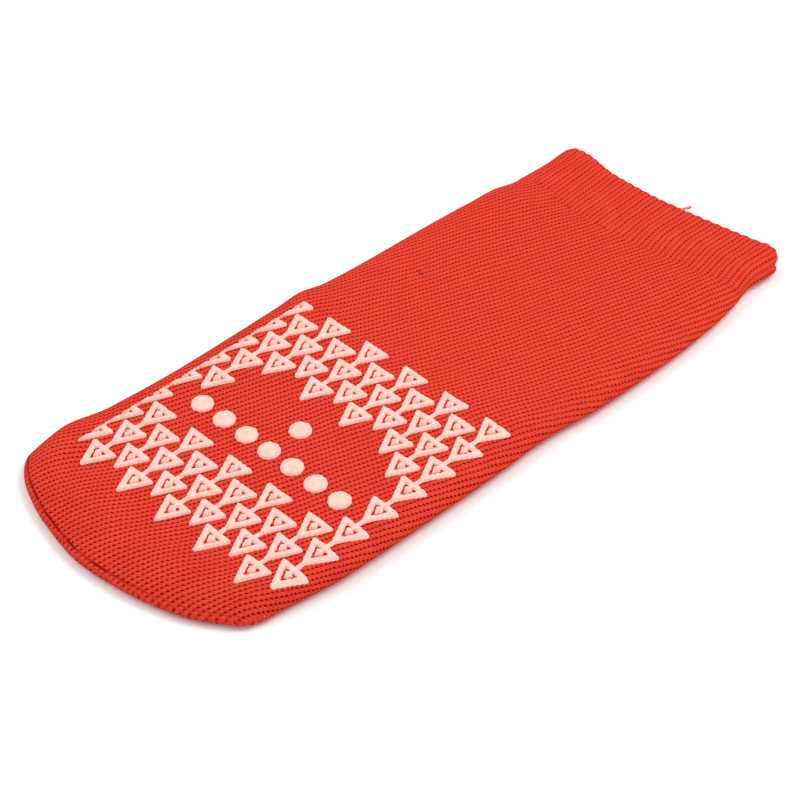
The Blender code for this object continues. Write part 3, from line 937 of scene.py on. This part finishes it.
def wandering(tree, wales, courses, place):
    """Wale and course counts that noise moves a little, as in real knit."""
    sway = calc(tree, "SUBTRACT", noise_at(tree, place, SWAY_SCALE, 1.0), 0.5)
    wander = calc(tree, "SUBTRACT", noise_at(tree, place, WANDER_SCALE, 1.0), 0.5)
    wales = calc(tree, "MULTIPLY_ADD", wander, WALE_WANDER, wales)
    wales = calc(tree, "MULTIPLY_ADD", sway, WALE_SWAY, wales)
    return wales, calc(tree, "MULTIPLY_ADD", sway, COURSE_SWAY, courses)


def hole_shade_strength(tree, wales, courses, foot, cuff, place):
    """How strong the painted shade in each hole is: by wale, by patch, by chance, and less on the
    cuff's ribs.
    """
    wale = calc(tree, "FLOOR", calc(tree, "ADD", wales, 0.5))
    along_wale = join(tree, calc(tree, "MULTIPLY", wale, WALE_LINE_STEP),
                      calc(tree, "MULTIPLY", courses, COURSE_LINE_STEP))
    line = ramp(tree, noise_at(tree, along_wale, 1.0), *LINE_STRENGTH)
    patch = ramp(tree, noise_at(tree, place, PATCH_SCALE), *PATCH_STRENGTH)
    strength = calc(tree, "MULTIPLY_ADD", foot, FOOT_HOLE_SHADE, calc(tree, "MULTIPLY", line, patch))
    course = calc(tree, "FLOOR", calc(tree, "ADD", courses, 0.5 + V_RISE / 2.0))
    luck = calc(tree, "MULTIPLY_ADD", chance(tree, wale, course), CHANCE_SHARE, CHANCE_START)
    strength = calc(tree, "MULTIPLY", strength, luck)
    valley = calc(tree, "SUBTRACT", 1.0, calc(tree, "PINGPONG", wale, 1.0))
    rib_change = calc(tree, "MULTIPLY_ADD", valley, VALLEY_HOLES, CUFF_HOLE_LOSS)
    return calc(tree, "MULTIPLY", strength, calc(tree, "MULTIPLY_ADD", rib_change, cuff, 1.0))


def make_knit():
    """Red plain knit, a hole with painted shade at each stitch and painted highlight on the crests,
    ribbed in the cuff.
    """
    material, tree, shader = new_material("red_knit", KNIT_SHADED_SIDE, KNIT_ROUGHNESS)
    place = object_place(tree)
    from_toe, from_cuff = read_map(tree, EDGE_MAP)
    map_wales, map_courses = read_map(tree, KNIT_MAP)
    foot = ramp(tree, map_courses, *FOOT_END, 1.0, 0.0)
    cuff = ramp(tree, from_cuff, -CUFF_START_RUN, CUFF_START_RUN, 1.0, 0.0)
    wales, courses = wandering(tree, map_wales, map_courses, place)
    hole_length = calc(tree, "MULTIPLY_ADD", foot, FOOT_HOLE_GROWTH, HOLE_HALF_COURSE)
    height, hole = stitches(tree, wales, courses, hole_length)
    strength = hole_shade_strength(tree, wales, courses, foot, cuff, place)
    seam, strip = toe_seam(tree, from_toe, place)
    # Painted shade in the holes, joined by the seam's own dark line and the painted shade of the cuff
    # pucker
    dark = calc(tree, "MULTIPLY", hole, calc(tree, "MULTIPLY", strength, strip))
    dark = calc(tree, "MAXIMUM", dark, seam)
    dark = calc(tree, "MAXIMUM", dark, cuff_pucker_shade(tree, wales, from_cuff, place))
    dark = calc(tree, "MINIMUM", dark, 1.0)
    mottle = ramp(tree, noise_at(tree, place, MOTTLE_SCALE, FINE_DETAIL), *MOTTLE)
    # Painted highlight on the stitch crests and painted shade on their sides, with random mottle of
    # the yarn
    yarn = mix_colour(tree, calc(tree, "ADD", height, mottle), KNIT_SHADED_SIDE, KNIT_LIT_CREST)
    # The painted shade of the holes and of the pucker, and the dark seam, laid over the yarn
    tree.links.new(mix_colour(tree, dark, yarn, KNIT_HOLE_SHADE), shader.inputs["Base Color"])
    shader.inputs["Specular IOR Level"].default_value = KNIT_GLOSS
    total = calc(tree, "SUBTRACT", height, calc(tree, "MULTIPLY", dark, HOLE_BUMP_SHARE))
    fuzz = noise_at(tree, place, FUZZ_SCALE, FINE_DETAIL)
    total = calc(tree, "MULTIPLY_ADD", fuzz, FUZZ_BUMP_SHARE, total)
    add_bump(tree, shader, total, KNIT_BUMP)
    return material


def make_print_material():
    """Pale pink rubbery print with the knit showing faintly through, with a painted highlight on its
    sloping rim.
    """
    material, tree, shader = new_material("pink_print", PRINT_PINK, PRINT_ROUGHNESS)
    height, _ = stitches(tree, *read_map(tree, KNIT_MAP))
    patch = noise_at(tree, object_place(tree), PRINT_SCALE)
    colour = mix_colour(tree, ramp(tree, patch, *PRINT_PATCHES), PRINT_PINK, PRINT_PALE)
    # Painted highlight: paler where the surface turns away from straight up, on the rim
    upright = split(tree, tree.nodes.new("ShaderNodeNewGeometry").outputs["Normal"])[2]
    colour = mix_colour(tree, ramp(tree, upright, *RIM_HIGHLIGHT_TURN), colour, PRINT_RIM_HIGHLIGHT)
    tree.links.new(colour, shader.inputs["Base Color"])
    knit = calc(tree, "MULTIPLY", height, KNIT_BUMP_SHARE)
    total = calc(tree, "MULTIPLY_ADD", patch, PATCH_BUMP_SHARE, knit)
    add_bump(tree, shader, total, PRINT_BUMP)
    return material


def make_thread(name, path, radius, material):
    """A thin round thread through the points of its path."""
    curve = bpy.data.curves.new(name, "CURVE")
    curve.dimensions = "3D"
    curve.bevel_depth = radius
    curve.bevel_resolution = THREAD_FACETS
    curve.use_fill_caps = True
    spline = curve.splines.new("NURBS")
    spline.points.add(len(path) - 1)
    spline.use_endpoint_u = True
    spline.order_u = THREAD_ORDER
    for point, place in zip(spline.points, path):
        point.co = (*place, 1.0)
    line = bpy.data.objects.new(name, curve)
    bpy.context.scene.collection.objects.link(line)
    bpy.context.view_layer.update()
    depsgraph = bpy.context.evaluated_depsgraph_get()
    mesh = bpy.data.meshes.new_from_object(line.evaluated_get(depsgraph))
    bpy.data.objects.remove(line)
    mesh.materials.clear()
    mesh.materials.append(material)
    mesh.shade_smooth()
    thread = bpy.data.objects.new(name, mesh)
    bpy.context.scene.collection.objects.link(thread)
    return thread


def thread_path(across, along, steps):
    """Points that lead on from a place on the sole face, by steps in millimetres."""
    x, y, top = tube_surface(np.array(across), np.array(along))[:3]
    start = np.array((x + SHIFT_X, y + SHIFT_Y, top))
    return [start + np.array(step) * MM for step in steps]


def make_camera():
    data = bpy.data.cameras.new("camera")
    data.lens = CAMERA_LENS
    data.sensor_width = CAMERA_SENSOR
    data.clip_start = CAMERA_NEAR
    camera = bpy.data.objects.new("camera", data)
    bpy.context.scene.collection.objects.link(camera)
    place = Vector(CAMERA_PLACE)
    turn = (Vector(CAMERA_TARGET) - place).to_track_quat("-Z", "Y").to_matrix().to_4x4()
    roll = Matrix.Rotation(math.radians(CAMERA_ROLL), 4, "Z")
    camera.matrix_world = Matrix.Translation(place) @ turn @ roll
    bpy.context.scene.camera = camera


def add_light(name, place, size, power):
    data = bpy.data.lights.new(name, "AREA")
    data.shape = "DISK"
    data.size = size
    data.energy = power
    lamp = bpy.data.objects.new(name, data)
    bpy.context.scene.collection.objects.link(lamp)
    lamp.location = place
    lamp.rotation_euler = (-Vector(place)).to_track_quat("-Z", "Y").to_euler()


def make_studio():
    """Pale floor and soft light from above."""
    material, _, _ = new_material("pale_floor", FLOOR_GREY, FLOOR_ROUGHNESS)
    reach = FLOOR_REACH
    corners = [(-reach, -reach, 0.0), (reach, -reach, 0.0), (reach, reach, 0.0), (-reach, reach, 0.0)]
    floor = new_piece("floor", corners, [(0, 1, 2, 3)], material)
    world = bpy.data.worlds.new("studio")
    world.use_nodes = True
    background = world.node_tree.nodes["Background"]
    background.inputs["Color"].default_value = (1.0, 1.0, 1.0, 1.0)
    background.inputs["Strength"].default_value = SKY_STRENGTH
    bpy.context.scene.world = world
    bpy.context.scene.view_settings.view_transform = "Standard"
    for lamp in LAMPS:
        add_light(*lamp)


make_camera()
make_studio()
sock = make_sock(make_knit())
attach(sock, "root")
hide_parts("sock_body")
tread = make_print(make_print_material())
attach(tread, "root")
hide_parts(*[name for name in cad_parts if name.startswith("tread_")])
loose_path = thread_path(LOOSE_END_ACROSS, LOOSE_END_ALONG, LOOSE_END_STEPS)
loose_yarn = new_material("loose_yarn", LOOSE_YARN, THREAD_ROUGHNESS)[0]
loose_end = make_thread("loose_end", loose_path, LOOSE_END_RADIUS, loose_yarn)
lint_path = thread_path(LINT_ACROSS, LINT_ALONG, LINT_STEPS)
blue_lint = new_material("blue_lint", LINT_BLUE, THREAD_ROUGHNESS)[0]
lint = make_thread("lint", lint_path, LINT_RADIUS, blue_lint)
for thread in (loose_end, lint):
    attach(thread, "root")
